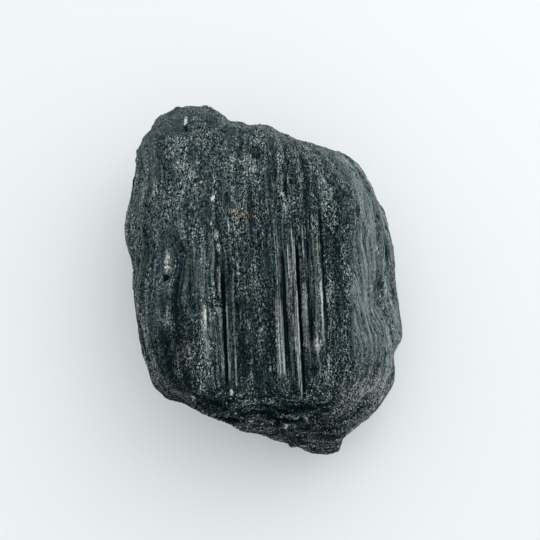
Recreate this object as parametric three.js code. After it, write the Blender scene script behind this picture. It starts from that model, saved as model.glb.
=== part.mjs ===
// A rough black tourmaline (schorl) crystal, one natural piece.
// It is a stout prism with ribs along its length and a broken face across each end, and it
// lies on a flat face. Units are millimetres and +Z is up. +X runs across the ribs and +Y
// along them, towards the rounded end.
import * as THREE from "three";
import { ImprovedNoise } from "three/addons/math/ImprovedNoise.js";
import { mergeVertices } from "three/addons/utils/BufferGeometryUtils.js";

const { degToRad, lerp, smoothstep } = THREE.MathUtils;

// Driving dimensions. Heights count from the middle of the crystal.
const WIDTH = 48.8; // widest outline, across the ribs
const LENGTH = 62; // widest outline, along the ribs
const CROWN = 16.5; // middle to top face
const BASE = 14.5; // middle to resting face
const EDGE_ROUND = 2.2; // how far a worn edge blends its two faces

// Ribs drift to the right towards the broken end: millimetres across for each millimetre along.
const RIB_DRIFT = 0.048;

// The widest outline lies in a plane that rises towards the rounded end. Its corners are
// shares of half the width and half the length, clockwise from the left.
const GIRDLE_RISE = degToRad(12);
const OUTLINE = [
  [-1.0, 0.35], [-0.97, 0.49], [-0.92, 0.69], [-0.82, 0.84], [-0.71, 0.94],
  [-0.59, 0.97], [-0.39, 0.98], [-0.32, 0.95], [-0.25, 0.9], [-0.01, 0.88],
  [0.18, 0.81], [0.39, 0.76], [0.57, 0.71], [0.66, 0.64], [0.76, 0.52],
  [0.87, 0.37], [0.93, 0.19], [0.98, -0.05], [1.01, -0.26], [0.99, -0.32],
  [0.95, -0.4], [0.97, -0.48], [0.93, -0.6], [0.79, -0.72], [0.61, -0.84],
  [0.56, -0.97], [0.5, -1.04], [0.43, -1.06], [0.27, -1.03], [0.09, -0.94],
  [-0.17, -0.86], [-0.41, -0.77], [-0.58, -0.69], [-0.71, -0.65], [-0.8, -0.57],
  [-0.84, -0.47], [-0.87, -0.41], [-0.88, -0.25], [-0.91, -0.05], [-0.92, 0.09],
  [-0.98, 0.2],
].map(([across, along]) => new THREE.Vector2((across * WIDTH) / 2, (along * LENGTH) / 2));
const WALL_TUCK = { above: 0.13, below: 0.2 }; // share of its reach the wall loses at crown and base

// Flat faces: the compass turn of the outward normal from +X, its tilt above the horizon,
// both in degrees, and a point that the face passes through.
const FACES = {
  top: { turn: 170, tilt: 87, through: [0, 0, CROWN] },
  right: { turn: -2, tilt: 33, through: [14, -8, CROWN - 0.6] },
  left: { turn: 178, tilt: 40, through: [-16.5, 0, CROWN - 0.5] },
  broken: { turn: -90, tilt: 21, through: [0, -22, CROWN] },
  rounded: { turn: 92, tilt: 60, through: [0, 18.5, CROWN] },
  shoulder: { turn: 48, tilt: 50, through: [14.5, 13, CROWN - 1] },
  corner: { turn: -38, tilt: 28, through: [13.5, -20, CROWN - 3] },
  undercut: { turn: -128, tilt: -38, through: [-9, -19, -3] },
};

// The top face across the ribs: where each step starts, and its depth below the face.
const TOP_STEPS = [
  { at: -14.4, depth: 0.35 }, // dark band
  { at: -11.7, depth: 0 }, // left plateau
  { at: -6.95, depth: 1.6 }, // groove under the plateau's edge
  { at: -6.3, depth: 0.5 }, // low ribs
  { at: -4.7, depth: 1.0 }, // trough
  { at: 1.6, depth: 0.35 }, // first rib of the bundle
  { at: 2.9, depth: 1.15 },
  { at: 4.5, depth: 0.1 }, // tallest rib
  { at: 5.4, depth: 1.7 }, // deepest groove
  { at: 6.05, depth: 0.4 }, // broad rib
  { at: 7.1, depth: 1.0 },
  { at: 7.6, depth: 0.3 }, // last rib
  { at: 9.6, depth: 1.0 }, // sunk strip beside the right face
];
const STEP_RUN = 0.4; // width of the riser between two steps
const STEP_FADE = { from: 0, to: 9 }; // the steps die out along +Y between these

// Broken end: ledges that stand out like stacked sheets.
const LEDGE = { spacing: 4.4, depth: 1.3, waviness: 1.6, skin: 3 };

// Ribs on the sides, and the lumps of the worn surface: size along the surface, and depth.
const RIBS = { spacing: 1.9, depth: 0.28, length: 26, patch: 11 };
const LUMPS = [
  { size: 9.5, depth: 1.0 },
  { size: 4.2, depth: 0.42 },
];

// Pits and knobs: place, radius, and depth. A negative depth stands out.
const DENTS = [
  { name: "knob", place: [-12.5, 24, 7], radius: 6, depth: -0.9 },
  { name: "round pit", place: [-1, 17.5, 15.5], radius: 1.7, depth: 1.1 },
  { name: "slot", place: [3.6, 12.3, 16], radius: 1.6, depth: 0.9 },
  { name: "chip", place: [-15.5, -0.5, 15], radius: 2, depth: 0.9 },
  { name: "edge notch", place: [23.6, -13.6, -2], radius: 3, depth: 1.3 },
  { name: "side scoop", place: [20.5, -3, 4], radius: 4, depth: 1.0 },
  { name: "end hole", place: [4.6, -26.8, 3], radius: 2.6, depth: 1.8 },
];

// Sampling grid: a box round the middle, whose grid lines follow the ribs on the long sides.
// Each of its points moves along a ray that starts on a smaller rectangle inside the crystal.
const FRAME = new THREE.Vector3(WIDTH, LENGTH * 0.78, CROWN + BASE);
const FRAME_CELLS = { along: 24, up: 17 };
const COLUMN_GAP = 1.6; // widest gap between two grid lines across the ribs
const RAY_START = 0.6; // the inner rectangle's share of the box
const HALVING_LIMIT = 1e-5; // how closely a grid point is brought to the surface
const MERGE = 1e-3; // grid points closer than this are one point

const UP = new THREE.Vector3(0, 0, 1);
const grain = new ImprovedNoise();
const girdleUp = new THREE.Vector3(0, Math.cos(GIRDLE_RISE), Math.sin(GIRDLE_RISE));
const girdleNormal = new THREE.Vector3(0, -Math.sin(GIRDLE_RISE), Math.cos(GIRDLE_RISE));
const facePlanes = Object.fromEntries(
  Object.entries(FACES).map(([name, face]) => [name, facePlane(face)]),
);

function facePlane({ turn, tilt, through }) {
  const normal = new THREE.Vector3(Math.cos(degToRad(tilt)), 0, Math.sin(degToRad(tilt)));
  normal.applyAxisAngle(UP, degToRad(turn));
  return new THREE.Plane().setFromNormalAndCoplanarPoint(normal, new THREE.Vector3(...through));
}

// The larger of two values, with a rounded change from one to the other.
function smoothMax(a, b, round) {
  const overlap = Math.max(round - Math.abs(a - b), 0) / round;
  return Math.max(a, b) + (overlap * overlap * round) / 4;
}

// Distance from the middle to the outline in a direction of the girdle plane.
function outlineReach(direction) {
  let reach = Infinity;
  OUTLINE.forEach((start, index) => {
    const end = OUTLINE[(index + 1) % OUTLINE.length];
    const side = end.clone().sub(start);
    const facing = direction.cross(side);
    const along = start.cross(side) / facing;
    const share = start.cross(direction) / facing;
    if (along > 0 && share >= 0 && share <= 1) reach = Math.min(reach, along);
  });
  return reach;
}

// How far a point lies outside the wall that bulges out to the outline.
function pastWall(point) {
  const inPlane = new THREE.Vector2(point.x, point.dot(girdleUp));
  const height = point.dot(girdleNormal);
  const tuck = height > 0 ? WALL_TUCK.above * (height / CROWN) ** 2 : WALL_TUCK.below * (height / BASE) ** 2;
  const distance = inPlane.length();
  return distance - outlineReach(inPlane.normalize()) * (1 - tuck);
}

const noiseAt = (point, size) => grain.noise(point.x / size, point.y / size, point.z / size);

// Place across the crystal where the rib through a point crosses y = 0.
const acrossRibs = ({ x, y }) => x + y * RIB_DRIFT;

// Depth of the stepped top face, which fades towards the rounded end and the other faces.
function topStepDepth(point, across) {
  let depth = 0;
  TOP_STEPS.forEach((step, index) => {
    const change = step.depth - (index ? TOP_STEPS[index - 1].depth : 0);
    depth += change * smoothstep(across, step.at - STEP_RUN / 2, step.at + STEP_RUN / 2);
  });
  const onTop = smoothstep(facePlanes.top.distanceToPoint(point), -4, -1.5);
  return depth * onTop * (1 - smoothstep(point.y, STEP_FADE.from, STEP_FADE.to));
}

// Depth of the ribs, which come and go in patches along the sides.
function ribDepth(point, across) {
  const round = Math.atan2(across, point.z) * CROWN;
  const wave = grain.noise(round / RIBS.spacing, point.y / RIBS.length, 0.5);
  const patch = 0.6 + 0.4 * grain.noise(round / RIBS.patch, point.y / RIBS.patch, 7.5);
  return RIBS.depth * wave * patch * 2;
}

// Depth of the ledges on the broken end.
function ledgeDepth(point) {
  const level = (point.z + LEDGE.waviness * noiseAt(point, 8)) / LEDGE.spacing;
  const rise = level - Math.floor(level);
  return LEDGE.depth * smoothstep(rise, 0.1, 1) * (1 - smoothstep(rise, 0.92, 1));
}

function dentDepth(point) {
  return DENTS.reduce((sum, { place, radius, depth }) => {
    const share = point.distanceTo(new THREE.Vector3(...place)) / radius;
    return sum + depth * (1 - smoothstep(share, 0.35, 1.15));
  }, 0);
}

// Positive outside the crystal, negative inside it.
function pastSurface(point) {
  let past = pastWall(point);
  for (const plane of Object.values(facePlanes)) {
    past = smoothMax(past, plane.distanceToPoint(point), EDGE_ROUND);
  }
  const across = acrossRibs(point);
  const onBroken = smoothstep(facePlanes.broken.distanceToPoint(point), -LEDGE.skin, 0);
  const lumps = LUMPS.reduce((sum, { size, depth }) => sum + depth * noiseAt(point, size), 0);
  const prism = topStepDepth(point, across) + ribDepth(point, across);
  return past + lumps + dentDepth(point) + lerp(prism, ledgeDepth(point), onBroken);
}

// Grid lines across the ribs: one at each edge of a step's riser, with wide gaps filled evenly.
function gridColumns() {
  const risers = TOP_STEPS.flatMap(({ at }) => [at - STEP_RUN / 2, at + STEP_RUN / 2]);
  const marks = [-WIDTH / 2, ...risers, WIDTH / 2];
  const filled = marks.slice(1).flatMap((mark, index) => {
    const cells = Math.ceil((mark - marks[index]) / COLUMN_GAP);
    return Array.from({ length: cells }, (_, cell) => lerp(marks[index], mark, cell / cells));
  });
  return [...filled, WIDTH / 2];
}

// Moves a point of the box along its ray to the surface, by halving, and stops it flat at the base.
function settle(point) {
  const start = new THREE.Vector3(point.x * RAY_START, point.y * RAY_START, 0);
  const ray = point.clone().sub(start).normalize();
  let inside = 0;
  let outside = LENGTH;
  while (outside - inside > HALVING_LIMIT) {
    const middle = (inside + outside) / 2;
    point.copy(start).addScaledVector(ray, middle);
    if (pastSurface(point) > 0) outside = middle;
    else inside = middle;
  }
  const reach = ray.z < 0 ? Math.min(inside, -BASE / ray.z) : inside;
  return point.copy(start).addScaledVector(ray, reach);
}

// A gridded box, swelled or shrunk until each of its points meets the surface.
function crystalGeometry() {
  const columns = gridColumns();
  const cells = columns.length - 1;
  const box = new THREE.BoxGeometry(cells, FRAME.y, FRAME.z, cells, FRAME_CELLS.along, FRAME_CELLS.up);
  const { position } = box.attributes;
  const point = new THREE.Vector3();
  for (let i = 0; i < position.count; i++) {
    point.fromBufferAttribute(position, i);
    const column = columns[Math.round(point.x + cells / 2)];
    point.x = column - point.y * RIB_DRIFT;
    settle(point);
    position.setXYZ(i, point.x, point.y, point.z);
  }
  box.deleteAttribute("uv");
  box.deleteAttribute("normal");
  const closed = mergeVertices(box, MERGE);
  closed.computeBoundingBox();
  const { min, max } = closed.boundingBox;
  closed.translate(-(min.x + max.x) / 2, -(min.y + max.y) / 2, -min.z);
  closed.computeVertexNormals();
  return closed;
}

const schorl = new THREE.MeshStandardMaterial({ color: 0x2b363b, roughness: 0.45, metalness: 0 });
const crystal = new THREE.Mesh(crystalGeometry(), schorl);
crystal.name = "crystal";

const part = new THREE.Group();
part.add(crystal);

export default part;
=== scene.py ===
"""A rough black tourmaline crystal, dressed over its solid and lying on a pale floor.

The classes count lengths in millimetres from the middle of the crystal: across its ribs, along them towards
the rounded end, and up. Blender's own units are metres.
"""

import logging
import math
from dataclasses import dataclass, field
from enum import Enum
from types import MappingProxyType
from typing import Any, Mapping, Union

import bmesh
import bpy
from mathutils import Matrix, Vector


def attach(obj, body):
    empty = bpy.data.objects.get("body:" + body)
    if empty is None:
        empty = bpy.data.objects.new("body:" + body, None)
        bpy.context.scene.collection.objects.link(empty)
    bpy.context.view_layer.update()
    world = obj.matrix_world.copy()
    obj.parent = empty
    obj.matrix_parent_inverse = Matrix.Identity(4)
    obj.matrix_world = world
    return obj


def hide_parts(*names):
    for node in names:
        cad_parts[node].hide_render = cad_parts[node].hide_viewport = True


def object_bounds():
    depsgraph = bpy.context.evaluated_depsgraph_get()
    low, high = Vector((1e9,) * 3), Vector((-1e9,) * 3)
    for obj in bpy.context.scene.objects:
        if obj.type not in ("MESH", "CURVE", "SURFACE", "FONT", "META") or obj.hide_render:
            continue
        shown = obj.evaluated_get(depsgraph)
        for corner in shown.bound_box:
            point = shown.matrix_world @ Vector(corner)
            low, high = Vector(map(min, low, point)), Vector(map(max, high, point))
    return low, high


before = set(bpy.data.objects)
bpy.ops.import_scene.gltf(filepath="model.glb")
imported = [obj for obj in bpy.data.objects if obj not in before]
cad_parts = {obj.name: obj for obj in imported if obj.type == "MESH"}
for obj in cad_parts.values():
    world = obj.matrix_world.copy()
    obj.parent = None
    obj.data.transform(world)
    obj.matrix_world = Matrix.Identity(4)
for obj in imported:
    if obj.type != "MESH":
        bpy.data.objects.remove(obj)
CAD_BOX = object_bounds()

LOG = logging.getLogger("tourmaline")
MM = 0.001
BODY = "root"
NODE = "crystal"
CUT = "cut"

Span = tuple[float, float]
Triple = tuple[float, float, float]
Colour = tuple[float, float, float]
Operand = Union["Wire", float]

NOTHING: Mapping[Any, Any] = MappingProxyType({})


class Wire:
    """An output socket, with arithmetic that adds Math nodes to its tree."""

    def __init__(self, graph: "Graph", socket: bpy.types.NodeSocket) -> None:
        """Keeps the socket and the graph that it belongs to."""
        self.graph = graph
        self.socket = socket

    def __add__(self, other: Operand) -> "Wire":
        """This value plus another."""
        return self.graph.math("ADD", self, other)

    def __radd__(self, other: Operand) -> "Wire":
        """Another value plus this one."""
        return self.graph.math("ADD", other, self)

    def __sub__(self, other: Operand) -> "Wire":
        """This value less another."""
        return self.graph.math("SUBTRACT", self, other)

    def __rsub__(self, other: Operand) -> "Wire":
        """Another value less this one."""
        return self.graph.math("SUBTRACT", other, self)

    def __mul__(self, other: Operand) -> "Wire":
        """This value times another."""
        return self.graph.math("MULTIPLY", self, other)

    def __rmul__(self, other: Operand) -> "Wire":
        """Another value times this one."""
        return self.graph.math("MULTIPLY", other, self)

    def __truediv__(self, other: Operand) -> "Wire":
        """This value over another."""
        return self.graph.math("DIVIDE", self, other)

    def __abs__(self) -> "Wire":
        """This value without its sign."""
        return self.graph.math("ABSOLUTE", self)

    def least(self, other: Operand) -> "Wire":
        """The smaller of this value and another."""
        return self.graph.math("MINIMUM", self, other)

    def most(self, other: Operand) -> "Wire":
        """The larger of this value and another."""
        return self.graph.math("MAXIMUM", self, other)

    def rise(self, low: float, high: float) -> "Wire":
        """A smooth rise from 0 to 1 as this value goes from low to high."""
        return self.graph.step(self, (low, high), (0.0, 1.0))

    def fall(self, low: float, high: float) -> "Wire":
        """A smooth fall from 1 to 0 as this value goes from low to high."""
        return self.graph.step(self, (low, high), (1.0, 0.0))


class Graph:
    """Adds nodes to one node tree."""

    def __init__(self, tree: bpy.types.NodeTree) -> None:
        """Keeps the tree."""
        self.tree = tree

    def feed(self, socket: bpy.types.NodeSocket, value: Any) -> None:
        """Links a wire to an input socket, or sets the socket's own value.

        Args:
            socket: The input socket.
            value: The wire or the value.
        """
        if isinstance(value, Wire):
            self.tree.links.new(value.socket, socket)
        else:
            socket.default_value = value

    def node(
        self,
        kind: str,
        settings: Mapping[str, Any] = NOTHING,
        inputs: Mapping[Union[str, int], Any] = NOTHING,
        output: Union[str, int] = 0,
    ) -> Wire:
        """Adds a node, whose output is left out where the node ends its tree.

        Args:
            kind: The node's type.
            settings: The node's own settings, which are set first.
            inputs: A value or a wire for each socket, by name or number.
            output: The output that is wanted.

        Returns:
            A wire from that output.
        """
        node = self.tree.nodes.new(kind)
        for name, value in settings.items():
            setattr(node, name, value)
        for key, value in inputs.items():
            self.feed(node.inputs[key], value)
        return Wire(self, node.outputs[output] if node.outputs else None)

    def math(self, operation: str, first: Operand, second: Operand = 0.0) -> Wire:
        """A Math node on one or two values."""
        return self.node("ShaderNodeMath", {"operation": operation}, {0: first, 1: second})

    def step(self, value: Wire, limits: Span, results: Span) -> Wire:
        """A smooth change from one result to another as a value goes from one limit to the other.

        Args:
            value: The value.
            limits: Where the change starts and where it ends.
            results: The result before the change and the result after it.

        Returns:
            The result at this value.
        """
        low, high = limits
        before, after = results
        inputs = {"Value": value, "From Min": low, "From Max": high, "To Min": before, "To Max": after}
        return self.node("ShaderNodeMapRange", {"interpolation_type": "SMOOTHSTEP"}, inputs)

    def vector(self, x: Operand, y: Operand, z: Operand) -> Wire:
        """A vector from three values."""
        return self.node("ShaderNodeCombineXYZ", {}, {0: x, 1: y, 2: z})

    def vector_math(
        self, operation: str, first: Any, second: Any = (0.0, 0.0, 0.0), output: str = "Vector"
    ) -> Wire:
        """A Vector Math node on one or two vectors."""
        return self.node("ShaderNodeVectorMath", {"operation": operation}, {0: first, 1: second}, output)

    def scaled(self, vector: Wire, factor: Operand) -> Wire:
        """A vector made longer or shorter."""
        return self.node("ShaderNodeVectorMath", {"operation": "SCALE"}, {0: vector, "Scale": factor})

    def centred(self, vector: Wire) -> Wire:
        """A vector whose values go from 0 to 1, moved so that they lie round 0."""
        return self.vector_math("SUBTRACT", vector, (0.5,) * 3)

    def part(self, vector: Wire, index: int) -> Wire:
        """One of the three values of a vector or a colour."""
        return self.node("ShaderNodeSeparateXYZ", {}, {0: vector}, index)

    def noise(self, vector: Wire, detail: float = 2.0, scale: float = 1.0) -> Wire:
        """Noise round 0, from about -1 to 1."""
        inputs = {"Vector": vector, "Scale": scale, "Detail": detail}
        return self.node("ShaderNodeTexNoise", {}, inputs) * 2.0 - 1.0

    def stray(self, vector: Wire, reach: float) -> Wire:
        """A short vector that wanders from place to place.

        Args:
            vector: The place.
            reach: How far it wanders in all, half of it each way.

        Returns:
            The short vector.
        """
        inputs = {"Vector": vector, "Scale": 1.0, "Detail": 2.0}
        wander = self.node("ShaderNodeTexNoise", {}, inputs, "Color")
        return self.scaled(self.centred(wander), reach)

    def cells(self, vector: Wire, output: str, scale: float = 1.0, dimensions: str = "3D") -> Wire:
        """One output of a pattern of crystal grains."""
        settings = {"voronoi_dimensions": dimensions}
        return self.node("ShaderNodeTexVoronoi", settings, {"Vector": vector, "Scale": scale}, output)

    def mix(self, factor: Operand, first: Any, second: Any) -> Wire:
        """A colour between two colours."""
        sockets = {0: factor, 6: first, 7: second}
        return self.node("ShaderNodeMix", {"data_type": "RGBA"}, sockets, 2)


def empty_graph(owner: Union[bpy.types.Material, bpy.types.World]) -> Graph:
    """Gives a material or a world an empty node tree.

    Args:
        owner: The material or the world.

    Returns:
        A graph that adds nodes to its tree.
    """
    owner.use_nodes = True
    owner.node_tree.nodes.clear()
    return Graph(owner.node_tree)


def opaque(colour: Colour) -> tuple[float, float, float, float]:
    """A colour with full cover."""
    return (*colour, 1.0)


@dataclass(frozen=True)
class Place:
    """Where a point lies on the crystal, in millimetres from its middle, and what it belongs to."""

    point: Wire
    across: Wire
    along: Wire
    height: Wire
    around: Wire
    ragged_across: Wire
    ragged_along: Wire
    ragged_point: Wire
    top: Wire
    broken: Wire
    ribbed: Wire


@dataclass(frozen=True)
class Lay:
    """How the crystal and its ribs lie in the frame, and where each of its faces begins."""

    middle: Triple = (-0.22, -0.23, 14.5)
    drift: float = 0.048
    crown: float = 16.5
    ragged_side: float = 0.08
    ragged_sides_per_mm: float = 0.7
    ragged_end: float = 1.3
    ragged_ends_per_mm: float = 0.9
    ragged_spot: float = 1.1
    top_height: Span = (12.6, 14.4)
    ribbed_girth: Span = (8.0, 13.0)
    ribbed_end: Span = (18.0, 25.0)
    broken_tilt: float = math.radians(21)
    broken_edge: float = -22.0
    broken_rise: Span = (-2.6, -0.4)
    right_around: Span = (12.5, 13.9)
    right_height: Span = (-9.0, -4.0)
    right_along: Span = (-25.0, -13.0)

    def place(self, graph: Graph, position: Wire) -> Place:
        """Turns a position in the frame into a place on the crystal.

        Args:
            graph: The tree to build in.
            position: The position, in metres.

        Returns:
            The place, with its parts as wires.
        """
        scaled = graph.vector_math("MULTIPLY", position, (1 / MM,) * 3)
        point = graph.vector_math("SUBTRACT", scaled, self.middle)
        x, along, height = (graph.part(point, index) for index in range(3))
        across = x + along * self.drift
        girth = graph.math("SQRT", across * across + height * height)
        broken = self.broken_end(along, height)
        behind = graph.scaled(point, -1.0)
        return Place(
            point=point,
            across=across,
            along=along,
            height=height,
            around=graph.math("ARCTAN2", across, height) * self.crown,
            ragged_across=across + graph.noise(point, 2.0, self.ragged_sides_per_mm) * self.ragged_side,
            ragged_along=along + graph.noise(behind, 2.0, self.ragged_ends_per_mm) * self.ragged_end,
            ragged_point=graph.vector_math("ADD", point, graph.stray(point, self.ragged_spot)),
            top=height.rise(*self.top_height),
            broken=broken,
            ribbed=girth.rise(*self.ribbed_girth) * along.fall(*self.ribbed_end) * (1.0 - broken),
        )

    def broken_end(self, along: Wire, height: Wire) -> Wire:
        """How much a place belongs to the broken end.

        Args:
            along: Where the place lies along the ribs.
            height: Its height.

        Returns:
            A share from 0 to 1.
        """
        out = (self.broken_edge - along) * math.cos(self.broken_tilt)
        up = (height - self.crown) * math.sin(self.broken_tilt)
        return (out + up).rise(*self.broken_rise)

    def right_face(self, place: Place) -> Wire:
        """How much a place belongs to the slanting face on the right, from 0 to 1."""
        wide = place.around.rise(*self.right_around) * place.height.rise(*self.right_height)
        return wide * place.along.rise(*self.right_along) * place.ribbed


LAY = Lay()


@dataclass(frozen=True)
class Lines:
    """Lines along the ribs: the width, length and strength of one, and a seed that sets them apart."""

    width: float
    length: float
    strength: float
    seed: float
    detail: float = 2.0

    def tone(self, around: Wire, along: Wire) -> Wire:
        """How light or dark the lines are at a place.

        Args:
            around: Where the place lies round the prism.
            along: Where it lies along the ribs.

        Returns:
            Their tone, round 0.
        """
        graph = around.graph
        vector = graph.vector(around / self.width, along / self.length, self.seed)
        return graph.noise(vector, self.detail) * self.strength


class Trait(Enum):
    """What a strip or a spot of the surface has that its surroundings lack."""

    # A polished rib: less rough, and also painted with a pale highlight.
    POLISH_AND_SHEEN = "light, polished rib"
    # Painted shade: grooves, pits and darker zones get a black, unlit shader mixed in.
    PAINTED_SHADE = "dark groove, pit or zone"
    SUGAR = "sugary grain"
    # White chips, and also painted glints where flakes and edges would catch the light.
    CHIPS_AND_GLINTS = "white chips"
    TAN = "warm stain"
    SMOOTH = "smooth skin"
    LINED = "fine lines along the ribs"
    FORM = "shape alone"


@dataclass(frozen=True)
class Strip:
    """A strip of the top face along the ribs.

    It has its sides across and its ends along, how strong its trait is, how high it stands, and the blur of
    its sides and of its ends.
    """

    trait: Trait
    sides: Span
    ends: Span
    amount: float = 1.0
    lift: float = 0.0
    blur: Span = (0.08, 1.2)

    def mask(self, place: Place) -> Wire:
        """How much a place belongs to the strip, from 0 to 1."""
        aside = self.inside(place.ragged_across, self.sides, self.blur[0])
        return aside * self.inside(place.ragged_along, self.ends, self.blur[1]) * place.top

    def inside(self, value: Wire, limits: Span, blur: float) -> Wire:
        """How much a value lies between two limits.

        Args:
            value: The value.
            limits: The two limits.
            blur: How soft they are.

        Returns:
            A share from 0 to 1.
        """
        low, high = limits
        half = (high - low) / 2
        return abs(value - (low + half)).fall(half - blur, half + blur)


@dataclass(frozen=True)
class Spot:
    """A spot on the surface.

    It has its middle and its half size each way, how strong its trait is, how high it stands, and the blur
    of its edge.
    """

    trait: Trait
    middle: Triple
    half: Triple
    amount: float = 1.0
    lift: float = 0.0
    blur: float = 0.3

    def mask(self, place: Place) -> Wire:
        """How much a place belongs to the spot.

        Args:
            place: The place on the crystal.

        Returns:
            A share from 0 to 1.
        """
        graph = place.point.graph
        out = graph.vector_math("SUBTRACT", place.ragged_point, self.middle)
        reach = graph.vector_math("LENGTH", graph.vector_math("DIVIDE", out, self.half), output="Value")
        return reach.fall(1.0 - self.blur, 1.0 + self.blur)


# Narrow grooves along the ribs, and a crack across the end of the pale plateau, darkened with painted shade
GROOVES = (
    Strip(Trait.PAINTED_SHADE, (-14.4, -11.9), (-13.0, 4.0), 0.3, lift=-0.1, blur=(0.3, 3.0)),
    Strip(Trait.PAINTED_SHADE, (-9.5, -7.0), (-7.5, -7.0), 0.9, lift=-0.25, blur=(0.2, 0.15)),
    Strip(Trait.PAINTED_SHADE, (-6.95, -6.35), (-19.6, -1.5), 1.0, lift=-0.35),
    Strip(Trait.PAINTED_SHADE, (-5.95, -5.3), (-19.0, -6.0), 0.4, lift=-0.12),
    Strip(Trait.PAINTED_SHADE, (-4.85, -3.4), (-19.4, -6.0), 0.35, lift=-0.05, blur=(0.3, 1.2)),
    Strip(Trait.PAINTED_SHADE, (2.95, 3.6), (-18.0, 1.5), 0.9, lift=-0.25),
    Strip(Trait.PAINTED_SHADE, (3.8, 6.4), (10.6, 16.5), 0.3, lift=-0.05, blur=(0.5, 1.0)),
    Strip(Trait.PAINTED_SHADE, (4.3, 4.7), (11.0, 14.4), 0.9, lift=-0.25, blur=(0.2, 0.5)),
    Strip(Trait.PAINTED_SHADE, (5.1, 5.2), (-21.0, 2.0), 0.5, lift=-0.1, blur=(0.05, 1.2)),
    Strip(Trait.PAINTED_SHADE, (5.45, 5.95), (-21.4, 3.0), 1.0, lift=-0.4),
    Strip(Trait.PAINTED_SHADE, (7.1, 7.5), (-15.0, -3.0), 0.9, lift=-0.2),
    Strip(Trait.PAINTED_SHADE, (9.6, 10.05), (-15.0, 9.0), 0.9, lift=-0.25),
)

# Ribs that catch the light, painted with pale highlights, from the pale plateau on the left to the right
# edge of the top face
POLISHED_RIBS = (
    Strip(Trait.POLISH_AND_SHEEN, (-11.6, -7.0), (-6.0, 3.0), 0.1, blur=(0.5, 1.5)),
    Strip(Trait.POLISH_AND_SHEEN, (-9.8, -7.0), (-19.4, -7.4), 0.12, blur=(0.6, 0.8)),
    Strip(Trait.POLISH_AND_SHEEN, (-7.25, -6.95), (-19.6, -1.0), 0.4, lift=0.05),
    Strip(Trait.POLISH_AND_SHEEN, (-6.28, -6.0), (-19.2, -7.0), 0.9, lift=0.12),
    Strip(Trait.POLISH_AND_SHEEN, (-5.2, -4.9), (-19.4, -4.0), 0.6, lift=0.14),
    Strip(Trait.POLISH_AND_SHEEN, (1.6, 9.6), (-19.0, 5.0), 0.06, blur=(0.4, 2.0)),
    Strip(Trait.POLISH_AND_SHEEN, (1.6, 2.85), (-18.6, -6.6), 0.35, lift=0.1),
    Strip(Trait.POLISH_AND_SHEEN, (1.6, 1.8), (-18.9, -6.6), 0.4),
    Strip(Trait.POLISH_AND_SHEEN, (2.65, 2.85), (-18.0, -6.6), 0.4),
    Strip(Trait.POLISH_AND_SHEEN, (3.65, 3.95), (-8.0, 2.0), 0.5, lift=0.2),
    Strip(Trait.POLISH_AND_SHEEN, (4.1, 4.3), (-2.8, 2.5), 0.7, lift=0.1, blur=(0.06, 0.8)),
    Strip(Trait.POLISH_AND_SHEEN, (4.4, 4.75), (-14.4, -8.6), 1.0, lift=0.2, blur=(0.08, 0.3)),
    Strip(Trait.POLISH_AND_SHEEN, (4.86, 5.1), (-20.6, 5.0), 0.9, lift=0.05, blur=(0.06, 1.2)),
    Strip(Trait.POLISH_AND_SHEEN, (5.2, 5.45), (-21.6, 4.0), 1.0, lift=0.05, blur=(0.06, 1.2)),
    Strip(Trait.POLISH_AND_SHEEN, (6.1, 6.9), (-14.4, -5.0), 0.3, lift=0.05),
    Strip(Trait.POLISH_AND_SHEEN, (6.7, 6.92), (0.7, 5.7), 0.7, lift=0.1, blur=(0.06, 0.8)),
    Strip(Trait.POLISH_AND_SHEEN, (7.45, 7.65), (-3.6, 0.4), 0.6, lift=0.1, blur=(0.06, 0.8)),
    Strip(Trait.POLISH_AND_SHEEN, (7.7, 9.2), (-13.6, -4.4), 0.1, blur=(0.2, 2.0)),
    Strip(Trait.POLISH_AND_SHEEN, (8.0, 14.0), (10.5, 17.5), 0.05, blur=(1.5, 2.0)),
    Strip(Trait.POLISH_AND_SHEEN, (9.15, 9.5), (-13.6, -4.4), 0.6, lift=0.1),
    Strip(Trait.POLISH_AND_SHEEN, (9.4, 9.65), (5.7, 10.8), 0.5, lift=0.1, blur=(0.06, 1.0)),
)

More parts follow.
